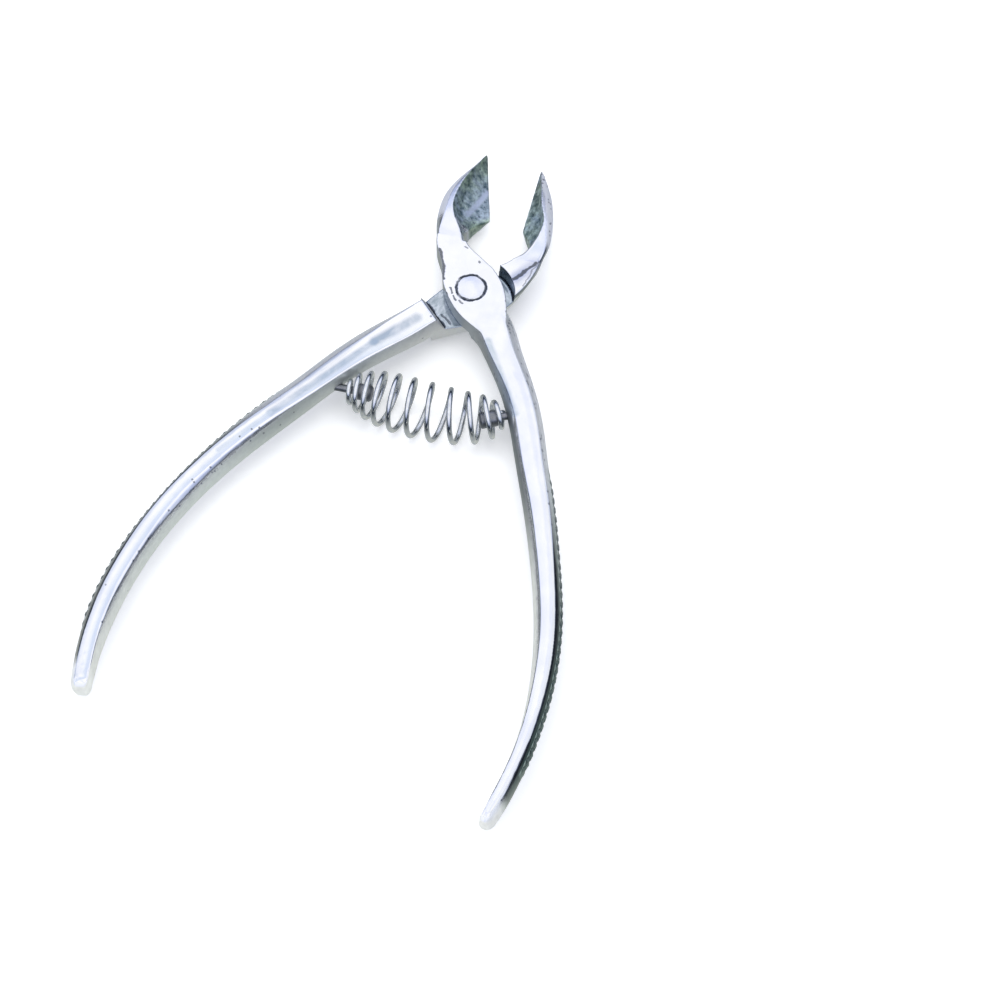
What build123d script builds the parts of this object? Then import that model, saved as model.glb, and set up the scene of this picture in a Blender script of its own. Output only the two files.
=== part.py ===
from build123d import *
import math
import os

# Hoof nipper: two forged levers lapped on a rivet, opened by a barrel spring on two studs.
# Frame: the origin is on the rivet's axis at the back face of the joint, +Y runs from the handles
# to the jaws, +Z points out of the front face. The nipper is modelled open, as the spring holds it.

# Joint
THICKNESS = 9.0  # back face to front face at the joint
LAP_LEVEL = THICKNESS / 2  # height where the two laps meet
LAP_GAP = 0.05  # each lap stays this far from the lap level
BACK_RECESS_RADIUS = 9.3  # the front lever's recess for the rear lever's lap
BACK_RECESS_FLARE = 0.9  # the recess widens by this much at the outer face
FRONT_RECESS_RADIUS = 9.1  # the rear lever's recess for the front lever's lap
FRONT_RECESS_FLARE = 0.3
FRONT_RECESS_CENTRE = (-0.9, -0.9)  # in the mirrored plan
NECK_SHOULDER_DISTANCE = 9.3  # from the rivet's axis to the rear lever's straight shoulder
NECK_SHOULDER_ANGLE = -51.0  # direction of the rear lever's straight shoulder, in the mirrored plan
NECK_SHOULDER_SPREAD = 1.8  # the straight shoulder leans outward by this much
NECK_SHOULDER_HALF_LENGTH = 7.0

# Rivet
RIVET_RADIUS = 2.6
RIVET_HEAD_RADIUS = 3.35
RIVET_HEAD_DEPTH = 1.7
RIVET_DOME = 0.3
RIVET_CLEARANCE = 0.05

# Barrel spring and its studs
WIRE_DIAMETER = 1.2
# at each whole turn: radius of the wire's centre line, and how far along the spring's axis it has come
SPRING_RADII = (1.6, 3.5, 4.6, 5.5, 6.0, 6.2, 6.2, 6.0, 5.6, 5.0, 3.7, 1.6)
SPRING_PLACES = (0.0, 0.047, 0.109, 0.183, 0.273, 0.379, 0.497, 0.627, 0.751, 0.861, 0.943, 1.0)
SPRING_START_ANGLE = -20.0
SPRING_POINTS_PER_TURN = 10
SPRING_AXIS = ((-17.9, -31.9), (-13.2, -31.6), (-3.2, -31.6), (6.2, -30.8), (12.8, -29.1), (17.4, -26.9))
STUD_RADIUS = 1.9
STUD_NECK_RADIUS = 0.9
STUD_NECK_LENGTH = 1.6  # free neck, from the first coil to the thick part
STUD_LENGTH = 5.6
STUD_ROOT = 3.0  # length of the shank behind the first coil, most of it set in the handle
STUD_TIP_CHAMFER = 0.4

# Handles, from the neck to the tip: station heights, middle and half width of the front facet,
# and how far the sides bulge past it towards the other handle and away from it
HANDLE_Y = (-5.0, -12.8, -20.0, -27.5, -36.0, -46.0, -58.0, -73.0, -87.0, -100.0, -111.0, -117.5)
FRONT_FACET_X = (5.2, 11.65, 17.75, 22.8, 27.1, 32.4, 37.9, 43.7, 46.8, 47.7, 47.0, 46.0)
FRONT_FACET_HALF = (3.4, 2.65, 2.35, 2.3, 2.25, 2.0, 1.8, 1.6, 1.55, 1.3, 1.2, 1.0)
FRONT_INNER_BULGE = (0.6, 0.7, 1.1, 1.4, 1.3, 1.6, 1.55, 1.5, 0.9, 0.5, 0.4, 0.4)
FRONT_OUTER_BULGE = (2.0, 2.45, 1.95, 1.55, 1.4, 1.2, 1.2, 1.25, 1.0, 0.95, 1.1, 1.2)
REAR_FACET_X = (3.4, 9.8, 15.0, 20.0, 25.2, 31.7, 38.3, 44.2, 47.0, 47.8, 46.7, 45.3)
REAR_FACET_HALF = (3.4, 3.2, 2.7, 2.15, 1.9, 1.7, 1.7, 1.65, 1.7, 1.6, 1.6, 1.5)
REAR_INNER_BULGE = (0.5, 0.3, 0.2, 0.2, 0.5, 1.4, 1.7, 1.9, 1.5, 1.4, 0.7, 0.4)
REAR_OUTER_BULGE = (0.6, 1.6, 2.7, 3.2, 3.0, 2.5, 1.7, 1.2, 1.5, 1.5, 1.2, 1.0)
FRONT_BACK_INSET = (2.8, 2.5, 1.9, 1.5, 0.9, 0.3, 0.0, 0.0, 0.0, 0.0, 0.0, 0.0)  # back facet, inner side
REAR_BACK_INSET = (1.6, 2.5, 2.7, 2.3, 1.4, 0.5, 0.1, 0.0, 0.0, 0.0, 0.0, 0.0)
HANDLE_HALF_DEPTH = (4.44, 4.42, 4.25, 4.15, 4.05, 4.0, 3.9, 3.75, 3.65, 3.5, 3.25, 3.0)
FACET_CROWN = (0.03, 0.05, 0.15, 0.22, 0.22, 0.22, 0.22, 0.22, 0.22, 0.22, 0.22, 0.22)
TIP_STEPS = ((1.8, 0.88), (2.6, 0.62))  # distance past the last station, share of its size

# Jaws, in the plan of a left jaw: tip and heel of the cutting edge
JAW_Y = (9.5, 13.2, 16.5, 20.0, 24.0, 28.0, 32.0, 35.5, 38.4)
FRONT_EDGE_TIP = (-10.1, 40.1)
FRONT_EDGE_HEEL = (-3.4, 22.8)
FRONT_OUTER_X = (-11.4, -13.1, -14.2, -14.9, -15.0, -14.15, -12.6, -11.4, -10.85)
FRONT_RIDGE_X = (-5.2, -7.0, -9.5, -11.5, -12.1, -11.9, -11.4, -10.8, -10.45)
REAR_EDGE_TIP = (-3.1, 40.0)
REAR_EDGE_HEEL = (-4.6, 22.6)
REAR_OUTER_X = (-12.3, -12.8, -12.9, -12.5, -11.5, -10.2, -8.5, -6.5, -4.7)
REAR_RIDGE_X = (-5.8, -8.3, -9.4, -9.8, -9.2, -7.3, -5.9, -4.6, -3.6)
JAW_RIDGE_Z = (8.94, 8.97, 8.97, 8.8, 8.3, 7.6, 6.5, 5.0, 3.6)
JAW_BACK_Z = (0.3, 0.0, 0.0, 0.0, 0.2, 0.5, 0.9, 1.3, 1.5)
JAW_ROUNDING = (0.03, 0.1, 0.32, 0.55, 0.6, 0.6, 0.6, 0.6, 0.6)  # share of the outer band
FRONT_HEEL_INSET = (0.7, 0.7, 0.9, 1.0, 0.9, 0.8, 0.45, 0.2, 0.12)  # back edge of the outer side
REAR_HEEL_INSET = (2.5, 2.5, 2.2, 1.6, 1.0, 0.8, 0.7, 0.45, 0.18)
EDGE_HEIGHT_SHARE = 0.22
FRONT_SIDE_HEIGHT = (0.5, 0.5, 0.5, 0.5, 0.5, 0.5, 0.5, 0.5, 0.5)  # where the outer side is widest
REAR_SIDE_HEIGHT = (0.86, 0.86, 0.82, 0.7, 0.6, 0.5, 0.5, 0.5, 0.5)
HOLLOW_WALL_SHARE = 0.17
HOLLOW_FOOT_SHARE = 0.66
HOLLOW_SAG = 0.35

# Boss outlines in the plan of a left jaw: outer side, neck side and throat, as spline points
FRONT_BOSS_OUTER = (
    (-12.3, 11.4),
    (-10.9, 7.7),
    (-8.6, 4.3),
    (-6.9, 0.0),
    (-4.9, -3.0),
    (-1.7, -6.3),
    (2.7, -9.0),
)
FRONT_BOSS_NECK = ((3.0, 6.7), (5.1, 4.8), (6.7, 3.0), (8.0, 0.9), (9.4, -2.2), (10.8, -6.8))
FRONT_THROAT = ((3.0, 6.7), (-1.2, 8.9), (-5.4, 11.6), (-7.0, 14.8), (-6.6, 17.8), (-5.2, 20.7))
REAR_BOSS_OUTER = ((-12.6, 11.6), (-12.0, 6.4), (-10.5, 2.0), (-8.2, -1.9), (-5.2, -5.4), (-1.9, -8.0))
REAR_BOSS_NECK = ((1.5, 6.5), (4.6, 4.6), (6.4, 1.6), (7.6, -0.8), (9.0, -3.4), (10.0, -5.8))
REAR_THROAT = ((1.5, 6.5), (-3.6, 7.6), (-6.4, 10.6), (-8.6, 13.8), (-8.6, 16.6), (-6.9, 19.8))
FRONT_NECK_ROOT = (6.7, -10.7)  # inside the handle, where the boss outline ends
REAR_NECK_ROOT = (5.6, -11.3)
FRONT_BACK_BEVEL = (3.0, (1.3, 1.0))  # the bevel under the boss's outer side: height, shift at the back
REAR_BACK_BEVEL = (7.6, (2.5, 0.5))


def plan_wire(points, z):
    """A smooth open line through plan points at one height."""
    return Spline(*[(x, y, z) for x, y in points])


def boss_wire(outline, shift, z):
    """The boss outline at one height, with its outer side moved in."""
    outer, neck, throat, root = outline
    moved = [(x + shift[0], y + shift[1]) for x, y in outer]
    throat_part = throat[:3]
    throat_end = (*throat_part[-1], z)
    jaw_root = (*moved[0], z)
    neck_root = (*root, z)
    return Wire(
        [
            plan_wire(moved, z),
            Line((*moved[-1], z), neck_root),
            Line(neck_root, (*neck[-1], z)),
            plan_wire(neck, z),
            plan_wire(throat_part, z),
            Line(throat_end, jaw_root),
        ]
    )


def boss(outline, back_bevel):
    """The full-thickness block around the rivet, down into the neck and up into the jaw."""
    height, shift = back_bevel
    full = boss_wire(outline, (0, 0), height)
    front_part = extrude(Face(full), amount=THICKNESS - height, dir=(0, 0, 1))
    back_part = Solid.make_loft([boss_wire(outline, shift, 0), full], ruled=True)
    return front_part + back_part


def handle_section(centre, across, facet, bulges, back_inset, half_depth, crown):
    """One handle section: crowned front and back facets joined by bulging sides."""
    inner = facet + bulges[0]
    outer = facet + bulges[1]
    back_left = back_inset - facet
    back_middle = (back_left + facet) / 2

    def at(u, v):
        return Vector(centre.X + across.X * u, centre.Y + across.Y * u, LAP_LEVEL + v)

    front = ThreePointArc(at(-facet, half_depth), at(0, half_depth + crown), at(facet, half_depth))
    right = ThreePointArc(at(facet, half_depth), at(outer, 0), at(facet, -half_depth))
    back = ThreePointArc(
        at(facet, -half_depth), at(back_middle, -half_depth - crown), at(back_left, -half_depth)
    )
    left = ThreePointArc(at(back_left, -half_depth), at(-inner, 0), at(-facet, half_depth))
    return Wire([front, right, back, left])


def handle(facet_x, facet_half, inner_bulge, outer_bulge, back_inset):
    """The curved handle, lofted along its centre line and closed by a domed tip."""
    centres = [Vector(x, y, 0) for x, y in zip(facet_x, HANDLE_Y)]
    line = Spline(*centres)
    sections = []
    for i, centre in enumerate(centres):
        along = line.tangent_at(line.param_at_point(centre))
        across = Vector(-along.Y, along.X, 0)
        bulges = (inner_bulge[i], outer_bulge[i])
        depth = HANDLE_HALF_DEPTH[i]
        crown = FACET_CROWN[i]
        sections.append(handle_section(centre, across, facet_half[i], bulges, back_inset[i], depth, crown))
    tip = [sections[-1]]
    for distance, share in TIP_STEPS:
        centre = centres[-1] + along * distance
        end_bulges = (bulges[0] * share, bulges[1] * share)
        tip.append(
            handle_section(centre, across, facet_half[-1] * share, end_bulges, 0, depth * share, crown)
        )
    return Solid.make_loft(sections) + Solid.make_loft(tip)


def jaw_section(y, outer, ridge, edge, heights, rounding, heel_inset, side_share):
    """One jaw section: rounded outer band, ridge, hollow inner face, cutting edge and back."""
    ridge_z, back_z = heights
    band = ridge - outer
    hollow = edge - ridge
    depth = ridge_z - back_z
    edge_z = back_z + EDGE_HEIGHT_SHARE * depth
    side_z = back_z + side_share * depth
    foot = Vector(ridge + HOLLOW_WALL_SHARE * hollow, y, back_z + HOLLOW_FOOT_SHARE * depth)
    crest = Vector(ridge, y, ridge_z)
    shoulder = Vector(outer + rounding * band, y, ridge_z - 0.18 * rounding * band)
    side = Vector(outer, y, side_z)
    heel = Vector(outer + heel_inset, y, back_z)
    back = Vector(edge - 0.28 * hollow, y, back_z)
    cutting = Vector(edge, y, edge_z)
    upper_bulge = Vector(
        outer + 0.22 * rounding * band, y, side_z + 0.66 * (shoulder.Z - side_z)
    )
    lower_inset = (0.7 * side_share - 0.1) * heel_inset
    lower_bulge = Vector(outer + lower_inset, y, back_z + 0.4 * (side_z - back_z))
    middle = (foot + cutting) * 0.5 - Vector(0, 0, HOLLOW_SAG * hollow / 8)
    return Wire(
        [
            Line(crest, shoulder),
            ThreePointArc(shoulder, upper_bulge, side),
            ThreePointArc(side, lower_bulge, heel),
            Line(heel, back),
            Line(back, cutting),
            ThreePointArc(cutting, middle, foot),
            Line(foot, crest),
        ]
    )


def edge_x(y, tip, heel):
    """Where the straight cutting edge stands at one height of the plan."""
    return tip[0] + (heel[0] - tip[0]) * (y - tip[1]) / (heel[1] - tip[1])


def jaw(tip, heel, outer_x, ridge_x, heel_inset, side_height):
    """The jaw's blank, from inside the boss to a fine tip."""
    sections = []
    for i, y in enumerate(JAW_Y):
        edge = edge_x(y, tip, heel)
        heights = (JAW_RIDGE_Z[i], JAW_BACK_Z[i])
        outer = outer_x[i]
        ridge = ridge_x[i]
        rounding = JAW_ROUNDING[i]
        sections.append(
            jaw_section(y, outer, ridge, edge, heights, rounding, heel_inset[i], side_height[i])
        )
    end_heights = (2.5, 1.6)
    sections.append(jaw_section(tip[1], tip[0] - 0.35, tip[0] - 0.25, tip[0], end_heights, 0.6, 0.03, 0.5))
    return Solid.make_loft(sections)


def throat_cutter(throat, heel):
    """The open space between the jaws below the cutting edges."""
    far = 14.0
    start = throat[0]
    edges = [
        plan_wire(list(throat) + [heel], -1),
        Line((heel[0], heel[1], -1), (far, heel[1], -1)),
        Line((far, heel[1], -1), (far, start[1], -1)),
        Line((far, start[1], -1), (start[0], start[1], -1)),
    ]
    return extrude(Face(Wire(edges)), amount=THICKNESS + 2, dir=(0, 0, 1))


def lap_cutter(upper):
    """The round recess that takes the other lever's lap, in the upper or the lower half."""
    radius = FRONT_RECESS_RADIUS if upper else BACK_RECESS_RADIUS
    flare = FRONT_RECESS_FLARE if upper else BACK_RECESS_FLARE
    height = LAP_LEVEL + LAP_GAP
    overshoot = 0.5
    spread = radius + flare * (1 + overshoot / height)
    if upper:
        cone = Solid.make_cone(radius, spread, height + overshoot)
        return Pos(*FRONT_RECESS_CENTRE, LAP_LEVEL - LAP_GAP) * cone + neck_shoulder_cutter(height)
    cone = Solid.make_cone(spread, radius, height + overshoot)
    return Pos(0, 0, -overshoot) * cone


def neck_shoulder_cutter(height):
    """The straight, leaning shoulder where the recess runs out across the rear lever's neck."""
    low = LAP_LEVEL - LAP_GAP
    top = low + 1.2 * height
    near = NECK_SHOULDER_DISTANCE
    far = near + 1.2 * NECK_SHOULDER_SPREAD
    profile = Plane.XZ * Polygon((0, low), (near, low), (far, top), (0, top), align=None)
    block = extrude(profile, amount=NECK_SHOULDER_HALF_LENGTH, both=True)
    return Rot(0, 0, NECK_SHOULDER_ANGLE) * block


def rivet_shape(clearance, dome):
    """The rivet, or the hole for it: a shank with a countersunk head at each face."""
    radius = RIVET_RADIUS + clearance
    head = RIVET_HEAD_RADIUS + clearance
    shank = Solid.make_cylinder(radius, THICKNESS)
    back_head = Solid.make_cone(head, radius, RIVET_HEAD_DEPTH)
    front_head = Pos(0, 0, THICKNESS - RIVET_HEAD_DEPTH) * Solid.make_cone(radius, head, RIVET_HEAD_DEPTH)
    shape = shank + back_head + front_head
    if dome:
        sphere_radius = (head**2 + dome**2) / (2 * dome)
        ball = Pos(0, 0, THICKNESS + dome - sphere_radius) * Solid.make_sphere(
            sphere_radius, angle1=0, angle2=90
        )
        above = Pos(0, 0, THICKNESS) * Solid.make_cylinder(head, dome)
        shape = shape + (ball & above)
    return shape


def lever(outline, back_bevel, jaw_values, handle_values, upper_recess, hole_clearance):
    """One forged lever, jaw at the left and handle at the right, without its stud hole."""
    throat = outline[2]
    blank = boss(outline, back_bevel) + jaw(*jaw_values) + handle(*handle_values)
    blank = blank - throat_cutter(throat, jaw_values[1])
    blank = blank - lap_cutter(upper_recess)
    return blank - rivet_shape(hole_clearance, 0)


def spring_axis():
    """The bent centre line of the spring, from the left handle to the right one."""
    return Spline(*[(x, y, LAP_LEVEL) for x, y in SPRING_AXIS])


def between_turns(values, turn):
    """A value at any point of the winding, smoothly from its values at the whole turns."""
    last = len(values) - 1
    i = min(int(turn), last - 1)
    t = turn - i
    before = values[i - 1] if i > 0 else 2 * values[0] - values[1]
    after = values[i + 2] if i + 2 <= last else 2 * values[last] - values[last - 1]
    start = (values[i + 1] - before) / 2
    end = (after - values[i]) / 2
    rise = values[i + 1] - values[i]
    return values[i] + t * start + t**2 * (3 * rise - 2 * start - end) + t**3 * (start + end - 2 * rise)


def barrel_spring():
    """Round wire coiled about the bent axis, with closer coils at its ends."""
    axis = spring_axis()
    count = (len(SPRING_PLACES) - 1) * SPRING_POINTS_PER_TURN
    points = []
    for i in range(count + 1):
        turn = i / SPRING_POINTS_PER_TURN
        place = min(1.0, max(0.0, between_turns(SPRING_PLACES, turn)))
        angle = 2 * math.pi * i / SPRING_POINTS_PER_TURN + math.radians(SPRING_START_ANGLE)
        along = axis.tangent_at(place)
        side = Vector(-along.Y, along.X, 0)
        radius = between_turns(SPRING_RADII, turn)
        offset = side * (radius * math.cos(angle)) + Vector(0, 0, radius * math.sin(angle))
        points.append(axis.position_at(place) + offset)
    path = Spline(*points)
    section = Plane(origin=path @ 0, z_dir=path % 0) * Circle(WIRE_DIAMETER / 2)
    return sweep(section, path=path, is_frenet=True)


def stud(end, growth):
    """A necked stud along the spring's end, growing from the handle towards the spring."""
    axis = spring_axis()
    start = axis.position_at(end)
    direction = axis.tangent_at(end) * growth
    outline = [
        (0, -STUD_ROOT),
        (STUD_NECK_RADIUS, -STUD_ROOT),
        (STUD_NECK_RADIUS, STUD_NECK_LENGTH),
        (STUD_RADIUS, STUD_NECK_LENGTH),
        (STUD_RADIUS, STUD_LENGTH - STUD_TIP_CHAMFER),
        (STUD_RADIUS - STUD_TIP_CHAMFER, STUD_LENGTH),
        (0, STUD_LENGTH),
    ]
    profile = Plane.XZ * Polygon(*outline, align=None)
    return Plane(origin=start, z_dir=direction) * revolve(profile, axis=Axis.Z)


def main():
    """Builds every piece and writes one STEP file for each."""
    front_stud = stud(1, -1)
    rear_stud = stud(0, 1)
    front = lever(
        (FRONT_BOSS_OUTER, FRONT_BOSS_NECK, FRONT_THROAT, FRONT_NECK_ROOT),
        FRONT_BACK_BEVEL,
        (FRONT_EDGE_TIP, FRONT_EDGE_HEEL, FRONT_OUTER_X, FRONT_RIDGE_X, FRONT_HEEL_INSET, FRONT_SIDE_HEIGHT),
        (FRONT_FACET_X, FRONT_FACET_HALF, FRONT_INNER_BULGE, FRONT_OUTER_BULGE, FRONT_BACK_INSET),
        False,
        0,
    )
    rear = lever(
        (REAR_BOSS_OUTER, REAR_BOSS_NECK, REAR_THROAT, REAR_NECK_ROOT),
        REAR_BACK_BEVEL,
        (REAR_EDGE_TIP, REAR_EDGE_HEEL, REAR_OUTER_X, REAR_RIDGE_X, REAR_HEEL_INSET, REAR_SIDE_HEIGHT),
        (REAR_FACET_X, REAR_FACET_HALF, REAR_INNER_BULGE, REAR_OUTER_BULGE, REAR_BACK_INSET),
        True,
        RIVET_CLEARANCE,
    )
    rear = mirror(rear, about=Plane.YZ)
    pieces = {
        "front_lever": front - front_stud,
        "rear_lever": rear - rear_stud,
        "pivot_rivet": rivet_shape(0, RIVET_DOME),
        "front_spring_stud": front_stud,
        "rear_spring_stud": rear_stud,
        "barrel_spring": barrel_spring(),
    }
    os.makedirs("parts", exist_ok=True)
    for name, piece in pieces.items():
        export_step(piece, f"parts/{name}.step")


main()
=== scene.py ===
import math

import bmesh
import bpy
from mathutils import Matrix, Vector
from mathutils.bvhtree import BVHTree


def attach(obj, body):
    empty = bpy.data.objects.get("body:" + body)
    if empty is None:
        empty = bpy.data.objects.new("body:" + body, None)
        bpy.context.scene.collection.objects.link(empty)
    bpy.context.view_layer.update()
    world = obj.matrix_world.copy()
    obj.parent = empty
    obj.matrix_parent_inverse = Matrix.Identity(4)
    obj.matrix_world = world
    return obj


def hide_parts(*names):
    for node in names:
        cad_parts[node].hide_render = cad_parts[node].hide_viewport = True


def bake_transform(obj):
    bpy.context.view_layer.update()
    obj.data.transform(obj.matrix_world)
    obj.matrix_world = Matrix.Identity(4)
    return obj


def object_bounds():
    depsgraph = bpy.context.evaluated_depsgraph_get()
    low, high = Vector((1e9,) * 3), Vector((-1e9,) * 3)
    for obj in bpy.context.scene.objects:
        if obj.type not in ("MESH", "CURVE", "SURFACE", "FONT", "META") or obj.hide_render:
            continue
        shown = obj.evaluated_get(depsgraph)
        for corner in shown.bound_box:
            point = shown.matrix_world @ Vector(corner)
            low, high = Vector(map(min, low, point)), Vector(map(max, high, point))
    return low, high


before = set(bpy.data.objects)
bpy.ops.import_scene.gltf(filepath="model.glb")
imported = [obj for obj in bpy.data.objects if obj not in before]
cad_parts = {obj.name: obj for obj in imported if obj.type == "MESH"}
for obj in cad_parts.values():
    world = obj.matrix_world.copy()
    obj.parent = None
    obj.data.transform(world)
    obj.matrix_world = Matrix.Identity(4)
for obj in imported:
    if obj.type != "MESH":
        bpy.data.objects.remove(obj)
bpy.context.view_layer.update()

MM = 0.001
MERGE_DISTANCE = 2e-6  # vertices of neighbouring CAD faces nearer than this are one
FLOOR_HALF_WIDTH = 3.0

# Camera
VIEW_TILT = math.radians(28.0)  # camera's lean away from straight above
TOOL_TURN = math.radians(19.5)  # the tool's turn about the vertical in the picture
VIEW_DISTANCE = 0.594
VIEW_TARGET = Vector((0.0219, -0.0461, 0.0045))
LENS = 98.4

# Spring, in millimetres
MID_HEIGHT = 4.5
WIRE_RADIUS = 0.6
# at each whole turn: radius of the wire's centre line, and how far along the spring's axis it has come
SPRING_RADII = (1.6, 3.5, 4.6, 5.5, 6.0, 6.2, 6.2, 6.0, 5.6, 5.0, 3.7, 1.6)
SPRING_PLACES = (0.0, 0.047, 0.109, 0.183, 0.273, 0.379, 0.497, 0.627, 0.751, 0.861, 0.943, 1.0)
SPRING_START_ANGLE = math.radians(-20)
SPRING_AXIS = ((-17.9, -31.9), (-13.2, -31.6), (-3.2, -31.6), (6.2, -30.8), (12.8, -29.1), (17.4, -26.9))
SPRING_STEPS = 44  # per turn
AXIS_STEPS = 2000  # along the whole axis
KNOT_STEPS = 60  # between two points of the axis, before it is evened out
WIRE_SIDES = 14
WIRE_END = ((0.08, 0.93), (0.12, 0.8))  # distance past the end, share of the wire's radius

# Knurl on the outer face of each handle
KNURL_TOP = -37.0
KNURL_BOTTOM = -108.0
KNURL_PITCH = 2.3  # along the handle
KNURL_ROWS = 2.0  # diamonds across the band
KNURL_HEIGHT = 0.42
KNURL_BAND = 4.4  # height of the band
KNURL_STEPS_ACROSS = 44
KNURL_STEPS_PER_PITCH = 16
KNURL_CREST = 0.75  # share of the height where the diamonds are cut flat
KNURL_FOOT = 0.1  # how far the band's rim lies under the handle's skin
KNURL_FADE_ACROSS = 8  # the diamonds rise over one part in this many of the band
KNURL_FADE_STEPS = 30  # and over this many steps at the band's two ends
RAY_START = 0.09  # outside the handle, in metres

# Zones of the forgings, in metres in the tool's frame: each fades from its first number to its second
JAW_START = (0.0150, 0.0185)
HOLLOW_START = (0.0165, 0.0180)
HANDLE_START = (0.002, -0.010)
LAP_HEIGHT = (0.0072, 0.0060)
LAP_BOTTOM = (-0.017, -0.014)
LAP_TOP = (0.016, 0.013)
HANDLE_LENGTH = 0.125  # wall colours are set by the share of this length
RIVET_RING = 0.00338  # radius of the line round the rivet's head
FRONT_FACE = (0.0070, 0.0080)
BACK_FACE = (0.0020, 0.0010)
WALL_DULLNESS = 0.75  # how far the satin walls are from bare metal, at most

# Studio: the sky's colour by the direction's height, from straight down at 0 to straight up at 1
SKY = (
    (0.0, (0.52, 0.54, 0.51)),
    (0.22, (0.34, 0.36, 0.35)),
    (0.42, (0.04, 0.05, 0.06)),
    (0.62, (0.02, 0.03, 0.05)),
    (0.68, (0.40, 0.45, 0.60)),
    (0.775, (0.78, 0.82, 0.95)),
    (0.90, (1.0, 1.0, 1.0)),
)
SKY_PATCHES = ((0.42, (0.84, 0.87, 0.96)), (0.55, (1.0, 1.0, 1.0)))
SKY_STRENGTH = 1.1

# Looks of the two levers. inner is the direction across the handle towards the other one. walls and
# outer_sides are colours by the share of the handle's length: painted reflections and painted shade
# on the side walls. The first colour is the painted reflection band on the crowned facets. Each nick
# and dark line is a start, an end, a width and a depth; the wider ones, along the joint's shoulders,
# are lines of painted shade and reflection. A painted reflection streak is a start, an end, a width
# and a colour, in millimetres.
FRONT_LOOK = {
    "facet_reflection": (0.88, 0.90, 0.97),
    "inner": (-0.97, -0.2, 0),
    "walls": (
        (0.08, (0.50, 0.53, 0.54)),
        (0.20, (0.24, 0.27, 0.29)),
        (0.36, (0.34, 0.37, 0.37)),
        (0.52, (0.86, 0.88, 0.80)),
        (0.85, (0.98, 0.98, 0.90)),
    ),
    "outer_sides": (
        (0.10, (0.95, 0.96, 0.99)),
        (0.30, (0.92, 0.94, 0.93)),
        (0.46, (0.62, 0.69, 0.64)),
        (0.62, (0.14, 0.19, 0.18)),
        (0.84, (0.12, 0.20, 0.18)),
        (0.90, (0.60, 0.66, 0.60)),
        (0.94, (0.95, 0.95, 0.88)),
    ),
    "edge_reflection_depth": 0.9,
    "warm_ground": ((0.16, 0.24, 0.20), (0.70, 0.84, 0.68)),
    "cool_ground": ((0.16, 0.23, 0.27), (0.66, 0.76, 0.84)),
    "nicks_and_edge_shade": (
        ((-4.6, -1.6), (-3.6, -2.8), 0.30, 0.8),
        ((-3.0, -3.4), (-2.0, -4.3), 0.28, 0.8),
        ((-1.2, -4.1), (-0.4, -4.6), 0.25, 0.7),
        ((-5.0, 10.0), (-4.2, 9.8), 0.2, 0.6),
        ((-0.7, 7.3), (-0.5, 7.0), 0.25, 0.7),
        ((-10.4, 7.4), (-8.2, 4.1), 0.45, 0.85),
        ((-8.2, 4.1), (-6.6, 0.2), 0.45, 0.85),
    ),
    "painted_reflections": (
        ((-8.4, 21.6), (-6.6, 30.0), 1.0, (0.72, 0.78, 0.92)),
        ((8.4, -12.0), (20.3, -27.5), 1.3, (0.52, 0.60, 0.70)),
    ),
}
REAR_LOOK = {
    "facet_reflection": (0.78, 0.83, 0.92),
    "inner": (0.86, -0.5, 0),
    "walls": (
        (0.08, (0.90, 0.90, 0.88)),
        (0.20, (0.80, 0.83, 0.82)),
        (0.38, (0.70, 0.75, 0.70)),
        (0.70, (0.80, 0.84, 0.76)),
        (0.92, (0.96, 0.97, 0.88)),
    ),
    "outer_sides": (
        (0.10, (0.95, 0.96, 0.99)),
        (0.40, (0.84, 0.87, 0.86)),
        (0.94, (0.95, 0.95, 0.90)),
    ),
    "edge_reflection_depth": 0.3,
    "warm_ground": ((0.14, 0.22, 0.20), (0.80, 0.92, 0.84)),
    "cool_ground": ((0.14, 0.21, 0.26), (0.70, 0.82, 0.92)),
    "nicks_and_edge_shade": (
        ((8.1, 5.0), (11.9, 11.2), 0.55, 0.85),
        ((12.5, 12.0), (10.9, 4.4), 0.22, 0.5),
        ((-4.2, -6.4), (-2.4, -8.0), 0.3, 0.7),
        ((-8.3, -4.9), (-2.9, -9.3), 0.45, 0.9),
    ),
    "painted_reflections": (
        ((9.0, 5.6), (12.2, 11.2), 2.6, (0.36, 0.41, 0.62)),
        ((-8.8, -11.6), (-15.6, -20.6), 1.8, (0.25, 0.34, 0.48)),
        ((-15.6, -20.6), (-31.0, -45.5), 1.3, (0.34, 0.43, 0.58)),
        ((-31.0, -45.5), (-38.3, -58.0), 0.9, (0.58, 0.66, 0.80)),
    ),
}
FRONT_KNURL_TONES = ((0.34, 0.44, 0.40), (0.52, 0.62, 0.56))
REAR_KNURL_TONES = ((0.60, 0.65, 0.60), (0.80, 0.84, 0.80))
# colour of the dents, nicks and rivet ring, and of the painted shade and reflection lines
MARK_AND_SHADE_COLOUR = (0.05, 0.06, 0.08)


def add_camera():
    """The camera, turned about its target as the tool lies turned in the picture."""
    right = Vector((math.cos(TOOL_TURN), math.sin(TOOL_TURN), 0))
    level = Vector((-math.sin(TOOL_TURN), math.cos(TOOL_TURN), 0))
    up = level * math.cos(VIEW_TILT) + Vector((0, 0, math.sin(VIEW_TILT)))
    back = right.cross(up)
    camera = bpy.data.objects.new("camera", bpy.data.cameras.new("camera"))
    bpy.context.scene.collection.objects.link(camera)
    turn = Matrix((right, up, back)).transposed().to_4x4()
    camera.matrix_world = Matrix.Translation(VIEW_TARGET + back * VIEW_DISTANCE) @ turn
    camera.data.lens = LENS
    camera.data.clip_start = 0.01
    bpy.context.scene.camera = camera


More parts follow.
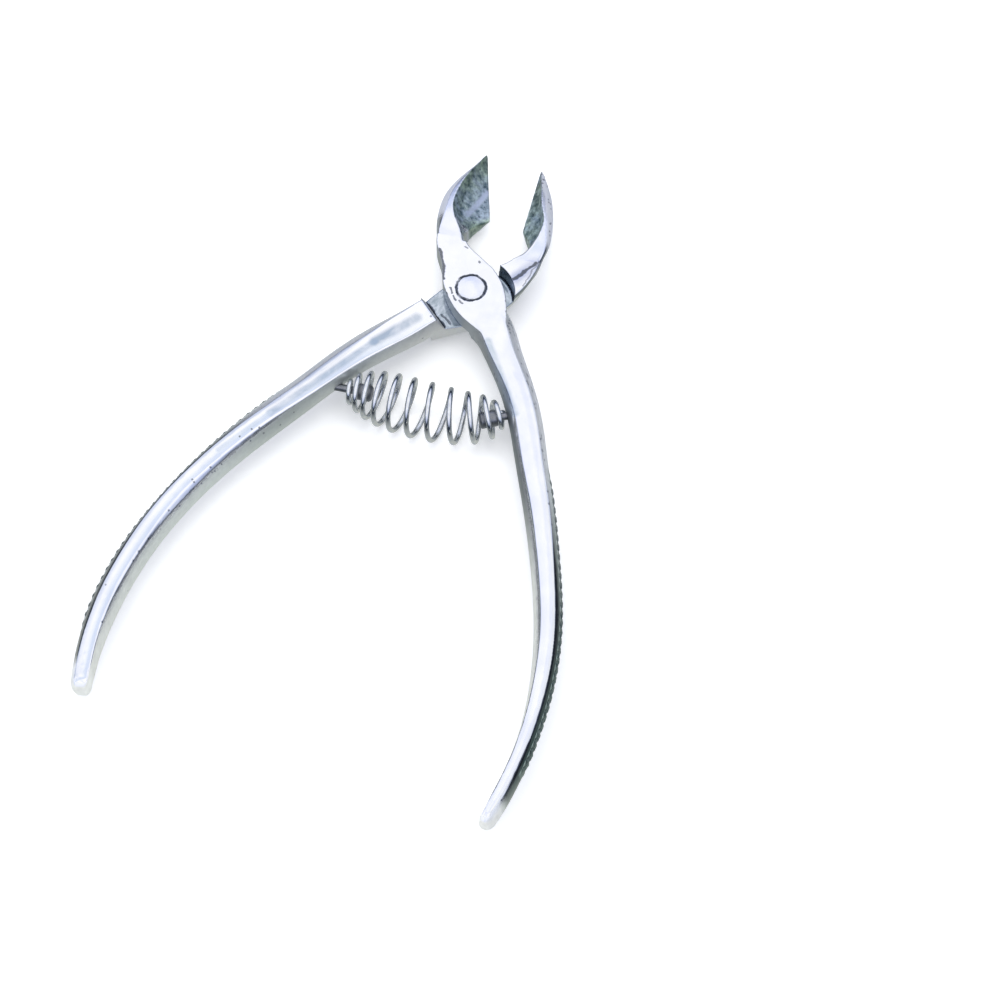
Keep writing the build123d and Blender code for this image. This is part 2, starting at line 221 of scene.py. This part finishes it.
def add_light(name, place, size, power, colour=(1, 1, 1)):
    lamp = bpy.data.lights.new(name, "AREA")
    lamp.shape = "DISK"
    lamp.size = size
    lamp.energy = power
    lamp.color = colour
    holder = bpy.data.objects.new(name, lamp)
    bpy.context.scene.collection.objects.link(holder)
    holder.visible_glossy = False
    holder.location = place
    holder.rotation_euler = (VIEW_TARGET - Vector(place)).to_track_quat("-Z", "Y").to_euler()


def fill_ramp(ramp, stops):
    """Gives a colour ramp node its stops; a plain number stands for a grey."""
    points = ramp.color_ramp.elements
    while len(points) < len(stops):
        points.new(1.0)
    for point, (place, colour) in zip(points, stops):
        if isinstance(colour, (int, float)):
            colour = (colour, colour, colour)
        point.position = place
        point.color = (*colour, 1)


def add_world():
    """A white studio with a darker band about the horizon, for the contours in polished metal."""
    world = bpy.data.worlds.new("studio")
    bpy.context.scene.world = world
    world.use_nodes = True
    tree = world.node_tree
    nodes = tree.nodes
    nodes.clear()
    out = nodes.new("ShaderNodeOutputWorld")
    sky = nodes.new("ShaderNodeBackground")
    where = nodes.new("ShaderNodeTexCoord")
    split = nodes.new("ShaderNodeSeparateXYZ")
    height = nodes.new("ShaderNodeMapRange")
    height.inputs["From Min"].default_value = -1.0
    shades = nodes.new("ShaderNodeValToRGB")
    fill_ramp(shades, SKY)
    tree.links.new(where.outputs["Generated"], split.inputs[0])
    tree.links.new(split.outputs["Z"], height.inputs["Value"])
    tree.links.new(height.outputs["Result"], shades.inputs[0])
    patches = nodes.new("ShaderNodeTexNoise")
    patches.inputs["Scale"].default_value = 2.6
    patches.inputs["Detail"].default_value = 1.0
    tree.links.new(where.outputs["Generated"], patches.inputs["Vector"])
    tints = nodes.new("ShaderNodeValToRGB")
    fill_ramp(tints, SKY_PATCHES)
    tree.links.new(patches.outputs["Fac"], tints.inputs["Fac"])
    product = nodes.new("ShaderNodeMix")
    product.data_type = "RGBA"
    product.blend_type = "MULTIPLY"
    product.inputs["Factor"].default_value = 1.0
    tree.links.new(shades.outputs["Color"], product.inputs["A"])
    tree.links.new(tints.outputs["Color"], product.inputs["B"])
    tree.links.new(product.outputs["Result"], sky.inputs["Color"])
    sky.inputs["Strength"].default_value = SKY_STRENGTH
    tree.links.new(sky.outputs[0], out.inputs[0])


def spline_points(knots, count):
    """Points on a smooth line through the knots, evenly spaced by length."""
    knots = [Vector((x, y, MID_HEIGHT)) for x, y in knots]
    padded = [knots[0] * 2 - knots[1], *knots, knots[-1] * 2 - knots[-2]]
    dense = []
    for i in range(1, len(padded) - 2):
        a, b, c, d = padded[i - 1 : i + 3]
        for k in range(KNOT_STEPS):
            t = k / KNOT_STEPS
            dense.append(
                0.5
                * (
                    2 * b
                    + (c - a) * t
                    + (2 * a - 5 * b + 4 * c - d) * t * t
                    + (3 * b - a - 3 * c + d) * t * t * t
                )
            )
    dense.append(knots[-1])
    lengths = [0.0]
    for a, b in zip(dense, dense[1:]):
        lengths.append(lengths[-1] + (b - a).length)
    points = []
    j = 0
    for i in range(count + 1):
        want = lengths[-1] * i / count
        while j < len(dense) - 2 and lengths[j + 1] < want:
            j += 1
        share = (want - lengths[j]) / (lengths[j + 1] - lengths[j])
        points.append(dense[j].lerp(dense[j + 1], min(1, share)))
    return points


def tube(name, path, radius, sides):
    """A round wire along a path of points in millimetres, with slightly rounded ends."""
    verts = []
    faces = []
    normal = Vector((0, 0, 1))
    rings = []
    n = len(path)
    for i, point in enumerate(path):
        along = (path[min(i + 1, n - 1)] - path[max(i - 1, 0)]).normalized()
        normal = (normal - along * normal.dot(along)).normalized()
        rings.append((point, along, normal.copy(), radius))
    first = rings[0]
    last = rings[-1]
    head = [(first[0] - first[1] * d, first[1], first[2], radius * share) for d, share in WIRE_END[::-1]]
    tail = [(last[0] + last[1] * d, last[1], last[2], radius * share) for d, share in WIRE_END]
    rings = head + rings + tail
    for point, along, normal, size in rings:
        other = along.cross(normal)
        for k in range(sides):
            angle = 2 * math.pi * k / sides
            verts.append((point + (normal * math.cos(angle) + other * math.sin(angle)) * size) * MM)
    for i in range(len(rings) - 1):
        for k in range(sides):
            a = i * sides + k
            b = i * sides + (k + 1) % sides
            faces.append((a, b, b + sides, a + sides))
    faces.append(tuple(range(sides))[::-1])
    faces.append(tuple(range(len(verts) - sides, len(verts))))
    return make_mesh(name, verts, faces)


def make_mesh(name, verts, faces):
    mesh = bpy.data.meshes.new(name)
    mesh.from_pydata([tuple(v) for v in verts], [], faces)
    mesh.validate()
    mesh.shade_smooth()
    piece = bpy.data.objects.new(name, mesh)
    bpy.context.scene.collection.objects.link(piece)
    return piece


def softened(node_name, grain, passes):
    """A copy of a CAD node with its sharp edges rolled over, as polishing leaves them."""
    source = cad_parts[node_name]
    work = bmesh.new()
    work.from_mesh(source.data)
    work.transform(source.matrix_world)
    bmesh.ops.remove_doubles(work, verts=work.verts, dist=MERGE_DISTANCE)
    mesh = bpy.data.meshes.new(node_name + "_worn")
    work.to_mesh(mesh)
    work.free()
    rough = bpy.data.objects.new(node_name + "_rough", mesh)
    bpy.context.scene.collection.objects.link(rough)
    remesh = rough.modifiers.new("skin", "REMESH")
    remesh.mode = "VOXEL"
    remesh.voxel_size = grain * MM
    remesh.use_smooth_shade = True
    polish = rough.modifiers.new("polish", "SMOOTH")
    polish.factor = 0.5
    polish.iterations = passes
    bpy.context.view_layer.update()
    done = bpy.data.meshes.new_from_object(rough.evaluated_get(bpy.context.evaluated_depsgraph_get()))
    bpy.data.objects.remove(rough)
    done.shade_smooth()
    piece = bpy.data.objects.new(node_name + "_worn", done)
    bpy.context.scene.collection.objects.link(piece)
    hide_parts(node_name)
    return piece


def between_turns(values, turn):
    """A value at any point of the winding, smoothly from its values at the whole turns."""
    last = len(values) - 1
    i = min(int(turn), last - 1)
    t = turn - i
    before = values[i - 1] if i > 0 else 2 * values[0] - values[1]
    after = values[i + 2] if i + 2 <= last else 2 * values[last] - values[last - 1]
    start = (values[i + 1] - before) / 2
    end = (after - values[i]) / 2
    rise = values[i + 1] - values[i]
    return values[i] + t * start + t**2 * (3 * rise - 2 * start - end) + t**3 * (start + end - 2 * rise)


def coil_path():
    """The spring's wire: a barrel helix about the bent axis, with closer coils at its ends."""
    axis = spline_points(SPRING_AXIS, AXIS_STEPS)
    path = []
    count = (len(SPRING_PLACES) - 1) * SPRING_STEPS
    for i in range(count + 1):
        turn = i / SPRING_STEPS
        advance = min(1.0, max(0.0, between_turns(SPRING_PLACES, turn)))
        at = min(AXIS_STEPS - 1, max(0, int(advance * AXIS_STEPS)))
        along = (axis[at + 1] - axis[at]).normalized()
        place = axis[at].lerp(axis[at + 1], min(1.0, advance * AXIS_STEPS - at))
        side = Vector((-along.y, along.x, 0))
        radius = between_turns(SPRING_RADII, turn)
        angle = 2 * math.pi * i / SPRING_STEPS + SPRING_START_ANGLE
        path.append(place + side * (radius * math.cos(angle)) + Vector((0, 0, radius * math.sin(angle))))
    return path


def outer_side_points(node, side, columns):
    """Points and normals of a handle's outer side, found by rays across the tool."""
    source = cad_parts[node]
    world = source.matrix_world
    tree = BVHTree.FromPolygons(
        [world @ v.co for v in source.data.vertices], [p.vertices[:] for p in source.data.polygons]
    )
    samples = {}
    for i in range(columns + 1):
        y = KNURL_TOP + (KNURL_BOTTOM - KNURL_TOP) * i / columns
        for j in range(KNURL_STEPS_ACROSS + 1):
            z = MID_HEIGHT + KNURL_BAND * (j / KNURL_STEPS_ACROSS - 0.5)
            start = Vector((side * RAY_START, y * MM, z * MM))
            place, normal, _, _ = tree.ray_cast(start, Vector((-side, 0, 0)))
            samples[i, j] = (place, -normal if normal.x * side < 0 else normal)
    return samples


def knurl_lift(travelled, across, fade):
    """Height of the diamonds over the handle's skin, in millimetres; fade is 0 at the band's rim."""
    u = travelled / KNURL_PITCH
    v = across * KNURL_ROWS
    a = abs(((u + v) % 1.0) - 0.5) * 2
    b = abs(((u - v) % 1.0) - 0.5) * 2
    height = min(min(a, b) * 1.35 - 0.25, KNURL_CREST) * KNURL_HEIGHT
    return -KNURL_FOOT if fade <= 0 else max(-KNURL_FOOT, height * fade + 0.02)


def knurl_band(name, node, side):
    """A diamond knurl laid on the outer face of one handle: side is 1 for the right, -1 for the left."""
    rows = KNURL_STEPS_ACROSS
    columns = int((KNURL_TOP - KNURL_BOTTOM) / KNURL_PITCH * KNURL_STEPS_PER_PITCH)
    samples = outer_side_points(node, side, columns)
    verts = []
    travelled = 0.0
    for i in range(columns + 1):
        if i > 0:
            travelled += (samples[i, rows // 2][0] - samples[i - 1, rows // 2][0]).length / MM
        end_fade = min(i, columns - i) / KNURL_FADE_STEPS
        for j in range(rows + 1):
            across = j / rows
            fade = min(1.0, across * KNURL_FADE_ACROSS, (1 - across) * KNURL_FADE_ACROSS, end_fade)
            place, normal = samples[i, j]
            verts.append(place + normal * (knurl_lift(travelled, across, fade) * MM))
    faces = []
    for i in range(columns):
        for j in range(rows):
            a = i * (rows + 1) + j
            b = a + rows + 1
            quad = (a, b, b + 1, a + 1)
            faces.append(quad if side < 0 else quad[::-1])
    piece = make_mesh(name, verts, faces)
    for polygon in piece.data.polygons:
        polygon.use_smooth = False
    return piece


class Surface:
    """A small helper that builds one procedural material."""

    def __init__(self, name):
        self.material = bpy.data.materials.new(name)
        self.material.use_nodes = True
        self.tree = self.material.node_tree
        self.nodes = self.tree.nodes
        self.shader = self.nodes["Principled BSDF"]
        self.where = self.nodes.new("ShaderNodeTexCoord")

    def link(self, a, b):
        self.tree.links.new(a, b)

    def stretched(self, scale):
        m = self.nodes.new("ShaderNodeMapping")
        m.inputs["Scale"].default_value = scale
        self.link(self.where.outputs["Object"], m.inputs["Vector"])
        return m.outputs["Vector"]

    def noise(self, scale, detail=4.0, rough=0.55, vector=None, distort=0.0):
        n = self.nodes.new("ShaderNodeTexNoise")
        n.inputs["Scale"].default_value = scale
        n.inputs["Detail"].default_value = detail
        n.inputs["Roughness"].default_value = rough
        n.inputs["Distortion"].default_value = distort
        self.link(vector or self.where.outputs["Object"], n.inputs["Vector"])
        return n.outputs["Fac"]

    def cells(self, scale):
        n = self.nodes.new("ShaderNodeTexVoronoi")
        n.inputs["Scale"].default_value = scale
        self.link(self.where.outputs["Object"], n.inputs["Vector"])
        return n.outputs["Distance"]

    def ramp(self, value, stops):
        r = self.nodes.new("ShaderNodeValToRGB")
        fill_ramp(r, stops)
        self.link(value, r.inputs["Fac"])
        return r.outputs["Color"]

    def mix(self, share, a, b, mode="MIX"):
        m = self.nodes.new("ShaderNodeMix")
        m.data_type = "RGBA"
        m.blend_type = mode
        for socket, value in ((m.inputs["Factor"], share), (m.inputs["A"], a), (m.inputs["B"], b)):
            if isinstance(value, (int, float)):
                socket.default_value = value if socket.name == "Factor" else (value, value, value, 1)
            elif isinstance(value, tuple):
                socket.default_value = (*value, 1)
            else:
                self.link(value, socket)
        return m.outputs["Result"]

    def math(self, kind, a, b=0.0, c=0.0):
        m = self.nodes.new("ShaderNodeMath")
        m.operation = kind
        for socket, value in zip(m.inputs, (a, b, c)):
            if isinstance(value, (int, float)):
                socket.default_value = value
            else:
                self.link(value, socket)
        return m.outputs[0]

    def pointiness(self):
        return self.nodes.new("ShaderNodeNewGeometry").outputs["Pointiness"]

    def step(self, value, low, high):
        """0 below low, 1 above high, smooth between; low may be the larger one."""
        m = self.nodes.new("ShaderNodeMapRange")
        m.interpolation_type = "SMOOTHSTEP"
        m.inputs["From Min"].default_value = low
        m.inputs["From Max"].default_value = high
        self.link(value, m.inputs["Value"])
        return m.outputs["Result"]

    def axes(self, output):
        m = self.nodes.new("ShaderNodeSeparateXYZ")
        self.link(output, m.inputs[0])
        return m.outputs

    def dot(self, output, direction):
        m = self.nodes.new("ShaderNodeVectorMath")
        m.operation = "DOT_PRODUCT"
        self.link(output, m.inputs[0])
        m.inputs[1].default_value = direction
        return m.outputs["Value"]

    def length(self, a, b):
        return self.math("SQRT", self.math("ADD", self.product(a, a), self.product(b, b)))

    def most(self, *values):
        result = values[0]
        for value in values[1:]:
            result = self.math("MAXIMUM", result, value)
        return result

    def near_line(self, x, y, start, end, width, soft=0.5):
        """1 along a straight mark between two plan points in millimetres, 0 away from it."""
        ax, ay = start[0] * MM, start[1] * MM
        dx, dy = end[0] * MM - ax, end[1] * MM - ay
        length = math.hypot(dx, dy)
        dx, dy = dx / length, dy / length
        px = self.math("SUBTRACT", x, ax)
        py = self.math("SUBTRACT", y, ay)
        along = self.math("ADD", self.math("MULTIPLY", px, dx), self.math("MULTIPLY", py, dy))
        beyond = self.math("SUBTRACT", along, self.math("MINIMUM", self.math("MAXIMUM", along, 0.0), length))
        aside = self.math("SUBTRACT", self.math("MULTIPLY", px, -dy), self.math("MULTIPLY", py, -dx))
        distance = self.length(aside, beyond)
        return self.step(distance, width * MM, width * soft * MM)

    def product(self, *values):
        result = values[0]
        for value in values[1:]:
            result = self.math("MULTIPLY", result, value)
        return result

    def bump(self, height, strength, distance):
        b = self.nodes.new("ShaderNodeBump")
        b.inputs["Strength"].default_value = strength
        b.inputs["Distance"].default_value = distance
        self.link(height, b.inputs["Height"])
        if self.shader.inputs["Normal"].is_linked:
            self.link(self.shader.inputs["Normal"].links[0].from_socket, b.inputs["Normal"])
        self.link(b.outputs["Normal"], self.shader.inputs["Normal"])

    def set(self, **values):
        for key, value in values.items():
            socket = self.shader.inputs[key.replace("_", " ")]
            if isinstance(value, (int, float)):
                socket.default_value = value
            elif isinstance(value, tuple):
                socket.default_value = (*value, 1)
            else:
                self.link(value, socket)


class Forging(Surface):
    """A lever's surface, with the masks and grains that its colours, gloss and marks share."""

    def __init__(self, name, look):
        super().__init__(name)
        self.look = look
        place = self.axes(self.where.outputs["Object"])
        self.x, self.y, self.z = place["X"], place["Y"], place["Z"]
        self.normal = self.axes(self.where.outputs["Normal"])
        self.facing = self.math("ABSOLUTE", self.normal["Z"])
        drift = self.math("MULTIPLY_ADD", self.noise(45.0, 3.0, 0.5), 0.12, -0.06)
        self.lean = self.math("ADD", self.dot(self.where.outputs["Normal"], look["inner"]), drift)
        self.along = self.math("DIVIDE", self.y, -HANDLE_LENGTH)
        self.grit = self.noise(700.0, 5.0, 0.65)
        self.speckle = self.noise(620.0, 6.0, 0.75)
        self.patch = self.noise(110.0, 3.0, 0.6, None, 1.2)
        self.side = self.step(self.facing, 0.72, 0.38)
        self.outward = self.step(self.lean, -0.05, -0.25)
        self.on_jaw = self.step(self.y, *JAW_START)
        self.on_handle = self.step(self.y, *HANDLE_START)
        self.jaw_band = self.product(self.on_jaw, self.step(self.facing, 0.97, 0.85))
        self.hollow = self.hollow_mask()

    def hollow_mask(self):
        """1 on the ground hollow behind the cutting edge."""
        towards_edge = self.product(self.normal["X"], self.math("SIGN", self.x), -1.0)
        return self.product(
            self.step(towards_edge, 0.16, 0.26),
            self.step(self.y, *HOLLOW_START),
            self.step(self.normal["Z"], -0.2, 0.05),
        )

    def face_colour(self):
        """Polished faces, with a painted reflection across each handle's crowned facet: a cooler band along
        its inner third and a painted highlight at its inner edge.
        """
        facet_reflection = self.look["facet_reflection"]
        # painted reflection: colour across the facet by how far it leans towards the other handle
        banded = self.ramp(
            self.math("MULTIPLY_ADD", self.lean, 2.0, 0.5),
            (
                (0.05, (0.80, 0.82, 0.84)),
                (0.28, (0.95, 0.95, 0.97)),
                (0.48, (0.92, 0.93, 0.98)),
                (0.66, facet_reflection),
                (0.84, facet_reflection),
                (0.92, (0.97, 0.97, 0.98)),
            ),
        )
        banded = self.mix(self.on_jaw, banded, (0.90, 0.92, 0.97))
        cloud = self.ramp(self.noise(160.0, 4.0, 0.6), ((0.35, (0.84, 0.86, 0.92)), (0.65, 1.0)))
        return self.mix(0.5, banded, cloud, "MULTIPLY")

    def wall_colour(self):
        """Satin, slightly green-grey side walls on the handles, coloured with painted reflections and
        painted shade along their length, and walls round the joint in painted shade, brighter where they
        roll over.
        """
        # painted reflection and painted shade on the inner walls, by the share of the handle's length
        satin = self.ramp(self.along, self.look["walls"])
        satin = self.mix(0.5, satin, self.ramp(self.grit, ((0.3, 0.72), (0.7, 1.0))), "MULTIPLY")
        # painted reflections on the outer sides, by the share of the handle's length
        outer = self.ramp(self.along, self.look["outer_sides"])
        outer = self.mix(0.5, outer, self.ramp(self.grit, ((0.3, 0.6), (0.7, 1.0))), "MULTIPLY")
        satin = self.mix(self.outward, satin, outer)
        # painted shade on the upright walls round the joint, and a brighter painted reflection where they
        # roll over
        rim = self.step(self.facing, 0.30, 0.10)
        joint_wall_shade_and_reflection = self.mix(rim, (0.72, 0.75, 0.84), (0.30, 0.34, 0.36))
        return self.mix(self.on_jaw, self.mix(self.on_handle, joint_wall_shade_and_reflection, satin), (0.80, 0.82, 0.90))

    def with_lap_shade(self, colour):
        """The laps' inner faces lie deeper and get a mottled blue-grey painted shade."""
        lap = self.product(
            self.step(self.z, *LAP_HEIGHT),
            self.step(self.facing, 0.6, 0.85),
            self.step(self.y, *LAP_BOTTOM),
            self.step(self.y, *LAP_TOP),
        )
        mottle = self.noise(260.0, 6.0, 0.7, None, 1.5)
        # painted shade on the lap faces, mottled
        dull = self.ramp(mottle, ((0.35, (0.26, 0.32, 0.38)), (0.65, (0.62, 0.68, 0.78))))
        return self.mix(lap, colour, dull)

    def with_hollow(self, colour):
        """Ground hollows behind the cutting edges, in patches of a greener and a bluer grey."""
        tones = [
            self.ramp(self.speckle, ((0.38, dark), (0.60, light)))
            for dark, light in (self.look["warm_ground"], self.look["cool_ground"])
        ]
        ground = self.mix(self.ramp(self.patch, ((0.40, 0.0), (0.60, 1.0))), *tones)
        return self.mix(self.hollow, colour, ground)

    def with_painted_reflections(self, colour):
        """Painted reflections: broad soft streaks of a cooler tone."""
        broken = self.ramp(self.patch, ((0.35, 0.5), (0.6, 1.0)))
        for start, end, width, tone in self.look["painted_reflections"]:
            streak = self.near_line(self.x, self.y, start, end, width, 0.2)
            colour = self.mix(self.product(streak, broken, 0.8), colour, tone)
        return colour

    def ring(self):
        """The dark line where the rivet's head meets the lever, uneven in front and thin at the back."""
        wobble = self.math("MULTIPLY_ADD", self.noise(420.0, 4.0, 0.7), 0.0011, -0.00055)
        from_axis = self.math("ADD", self.length(self.x, self.y), wobble)
        off_ring = self.math("ABSOLUTE", self.math("SUBTRACT", from_axis, RIVET_RING))
        front = self.product(
            self.step(off_ring, 0.00040, 0.00020),
            self.step(self.facing, 0.6, 0.8),
            self.step(self.z, *FRONT_FACE),
            self.ramp(self.noise(330.0, 2.0, 0.5), ((0.38, 0.45), (0.5, 1.0))),
        )
        back = self.product(self.step(off_ring, 0.00024, 0.00012), self.step(self.z, *BACK_FACE))
        return self.most(front, back)

    def nicks_and_edge_shade(self):
        """Short wavering nicks, and dark lines of painted shade and reflection along the joint's edges."""
        waver = self.math("MULTIPLY_ADD", self.noise(260.0, 3.0, 0.6), 0.0030, -0.0015)
        across = self.math("ADD", self.x, waver)
        flat = self.step(self.facing, 0.5, 0.8)
        return [
            self.product(self.near_line(across, self.y, start, end, width), flat, depth)
            for start, end, width, depth in self.look["nicks_and_edge_shade"]
        ]

    def lower_edge_reflection(self):
        """A painted reflection: the dark line along the outer edge of the handle's lower half."""
        return self.product(
            self.step(self.facing, 0.95, 0.88),
            self.step(self.facing, 0.42, 0.55),
            self.outward,
            self.step(self.y, -0.052, -0.062),
            self.step(self.y, -0.113, -0.108),
            self.step(self.z, 0.0045, 0.0055),
            self.look["edge_reflection_depth"],
        )

    def marks_and_shade(self):
        """Everything dark and slightly sunk: the ring, small dents and nicks, and the dark lines of painted
        shade along the joint's shoulders and of painted reflection along the outer edge.
        """
        dents = self.product(self.step(self.cells(185.0), 0.060, 0.035), 0.55)
        return self.most(self.ring(), dents, *self.nicks_and_edge_shade(), self.lower_edge_reflection())

    def gloss(self, streak):
        """Roughness: lowest on the polished faces, highest in the ground hollows."""
        faces = self.ramp(streak, ((0.3, 0.07), (0.7, 0.15)))
        walls = self.mix(self.on_handle, 0.16, self.ramp(self.grit, ((0.3, 0.34), (0.7, 0.48))))
        gloss = self.mix(self.side, faces, walls)
        gloss = self.mix(self.jaw_band, gloss, 0.36)
        return self.mix(self.hollow, gloss, self.ramp(self.speckle, ((0.3, 0.42), (0.7, 0.62))))

    def metalness(self):
        """1 on bare metal, less on the satin walls, the rolled outer edges, the jaws' sides and the tips."""
        lower_wall = self.math("MULTIPLY_ADD", self.step(self.y, -0.040, -0.066), 0.6, 0.4)
        inner = self.product(self.side, self.on_handle, self.step(self.lean, -0.1, 0.1), lower_wall)
        rolled = self.step(self.facing, 0.97, 0.86)
        outer = self.product(rolled, self.outward, self.on_handle, self.step(self.y, -0.058, -0.040), 0.7)
        jaw = self.product(self.jaw_band, self.step(self.hollow, 0.6, 0.2), 0.75)
        satin = self.product(self.most(inner, outer, jaw), WALL_DULLNESS)
        tip = self.product(self.step(self.facing, 0.93, 0.80), self.step(self.y, -0.113, -0.1165))
        return self.math("SUBTRACT", 1.0, self.most(satin, tip))


def polished_steel(name, look):
    """Bright plated forging: mirror-like faces and satin sides coloured with painted reflections and shade,
    ground hollows, dark painted reflections along the edges, and dents.
    """
    s = Forging(name, look)
    colour = s.mix(s.side, s.face_colour(), s.wall_colour())
    colour = s.with_lap_shade(colour)
    colour = s.with_hollow(colour)
    colour = s.with_painted_reflections(colour)
    # painted reflection: convex edges darkened, for the dark lines polished metal shows along its edges
    crest = s.step(s.pointiness(), 0.53, 0.60)
    colour = s.mix(s.product(crest, 0.75), colour, (0.10, 0.12, 0.17))
    marks_and_shade = s.marks_and_shade()
    streak = s.noise(1.0, 5.0, 0.6, s.stretched((900, 90, 400)))
    s.set(
        Base_Color=s.mix(marks_and_shade, colour, MARK_AND_SHADE_COLOUR),
        Metallic=s.metalness(),
        Roughness=s.gloss(streak),
    )
    s.bump(s.noise(75.0, 2.0, 0.5), 0.30, 0.0006)
    s.bump(streak, 0.10, 0.00006)
    s.bump(s.product(s.speckle, s.hollow), 0.35, 0.00025)
    s.bump(s.math("SUBTRACT", 1.0, marks_and_shade), 0.5, 0.00012)
    return s.material


def knurl_steel(name, lower_tones):
    """Satin crests with painted shade in the grooves; lower_tones are the crests' colours on the handle's
    lower half.
    """
    s = Surface(name)
    grit = s.noise(900.0, 4.0, 0.6)
    lower = s.step(s.axes(s.where.outputs["Object"])["Y"], -0.055, -0.080)
    pale = s.ramp(grit, ((0.3, (0.52, 0.58, 0.52)), (0.7, (0.78, 0.82, 0.76))))
    crest = s.mix(lower, pale, s.ramp(grit, ((0.3, lower_tones[0]), (0.7, lower_tones[1]))))
    # painted shade: the grooves between the diamonds darkened
    groove_shade = s.step(s.pointiness(), 0.499, 0.48)
    s.set(
        Base_Color=s.mix(groove_shade, crest, (0.05, 0.06, 0.06)),
        Metallic=1.0,
        Roughness=s.ramp(grit, ((0.3, 0.34), (0.7, 0.5))),
    )
    s.bump(grit, 0.2, 0.00005)
    return s.material


def wire_steel(name):
    """Bright drawn wire with fine streaks."""
    s = Surface(name)
    streak = s.noise(900.0, 3.0, 0.6)
    s.set(
        Base_Color=s.ramp(streak, ((0.3, (0.74, 0.76, 0.78)), (0.7, (0.90, 0.91, 0.92)))),
        Metallic=1.0,
        Roughness=s.ramp(streak, ((0.3, 0.08), (0.7, 0.16))),
    )
    s.bump(streak, 0.12, 0.00004)
    return s.material


def dull_steel(name):
    """Dull turned steel."""
    s = Surface(name)
    turned = s.noise(1.0, 4.0, 0.6, s.stretched((1600, 500, 500)))
    s.set(
        Base_Color=s.ramp(turned, ((0.3, (0.20, 0.21, 0.23)), (0.7, (0.36, 0.37, 0.40)))),
        Metallic=1.0,
        Roughness=s.ramp(turned, ((0.3, 0.25), (0.7, 0.45))),
    )
    s.bump(turned, 0.2, 0.00005)
    return s.material


def dress(piece, material):
    piece.data.materials.clear()
    piece.data.materials.append(material)


def add_floor():
    """A plain pale floor that stays out of the metal's reflections."""
    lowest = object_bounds()[0].z
    half = FLOOR_HALF_WIDTH
    corners = [(-half, -half, lowest), (half, -half, lowest), (half, half, lowest), (-half, half, lowest)]
    floor = make_mesh("floor", corners, [(0, 1, 2, 3)])
    material = bpy.data.materials.new("floor")
    material.use_nodes = True
    shader = material.node_tree.nodes["Principled BSDF"]
    shader.inputs["Base Color"].default_value = (0.93, 0.93, 0.92, 1)
    shader.inputs["Emission Color"].default_value = (1.0, 1.0, 0.99, 1)
    shader.inputs["Emission Strength"].default_value = 0.3
    shader.inputs["Roughness"].default_value = 0.9
    shader.inputs["Specular IOR Level"].default_value = 0.1
    dress(floor, material)
    floor.visible_glossy = False


add_camera()
add_world()
add_light("overhead", (0.0, 0.25, 0.9), 0.9, 3)
add_light("side", (-0.8, -0.2, 0.6), 0.5, 1.5, (0.93, 0.95, 1.0))

front_steel = polished_steel("front_steel", FRONT_LOOK)
rear_steel = polished_steel("rear_steel", REAR_LOOK)
wire = wire_steel("spring_wire")
dull = dull_steel("stud_steel")
for node_name, body_name, grain, passes, steel in (
    ("front_lever", "front", 0.2, 5, front_steel),
    ("rear_lever", "rear", 0.2, 5, rear_steel),
    ("pivot_rivet", "front", 0.1, 4, front_steel),
):
    piece = softened(node_name, grain, passes)
    dress(piece, steel)
    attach(piece, body_name)
for node_name in ("front_spring_stud", "rear_spring_stud"):
    dress(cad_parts[node_name], dull)

spring = tube("spring_coil", coil_path(), WIRE_RADIUS, WIRE_SIDES)
dress(spring, wire)
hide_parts("barrel_spring")
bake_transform(spring)

front_knurl = knurl_steel("front_knurl_steel", FRONT_KNURL_TONES)
rear_knurl = knurl_steel("rear_knurl_steel", REAR_KNURL_TONES)
for knurl_name, node_name, body_name, side, cut in (
    ("right_knurl", "front_lever", "front", 1, front_knurl),
    ("left_knurl", "rear_lever", "rear", -1, rear_knurl),
):
    knurl = knurl_band(knurl_name, node_name, side)
    dress(knurl, cut)
    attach(knurl, body_name)

add_floor()
bpy.context.scene.view_settings.view_transform = "Standard"
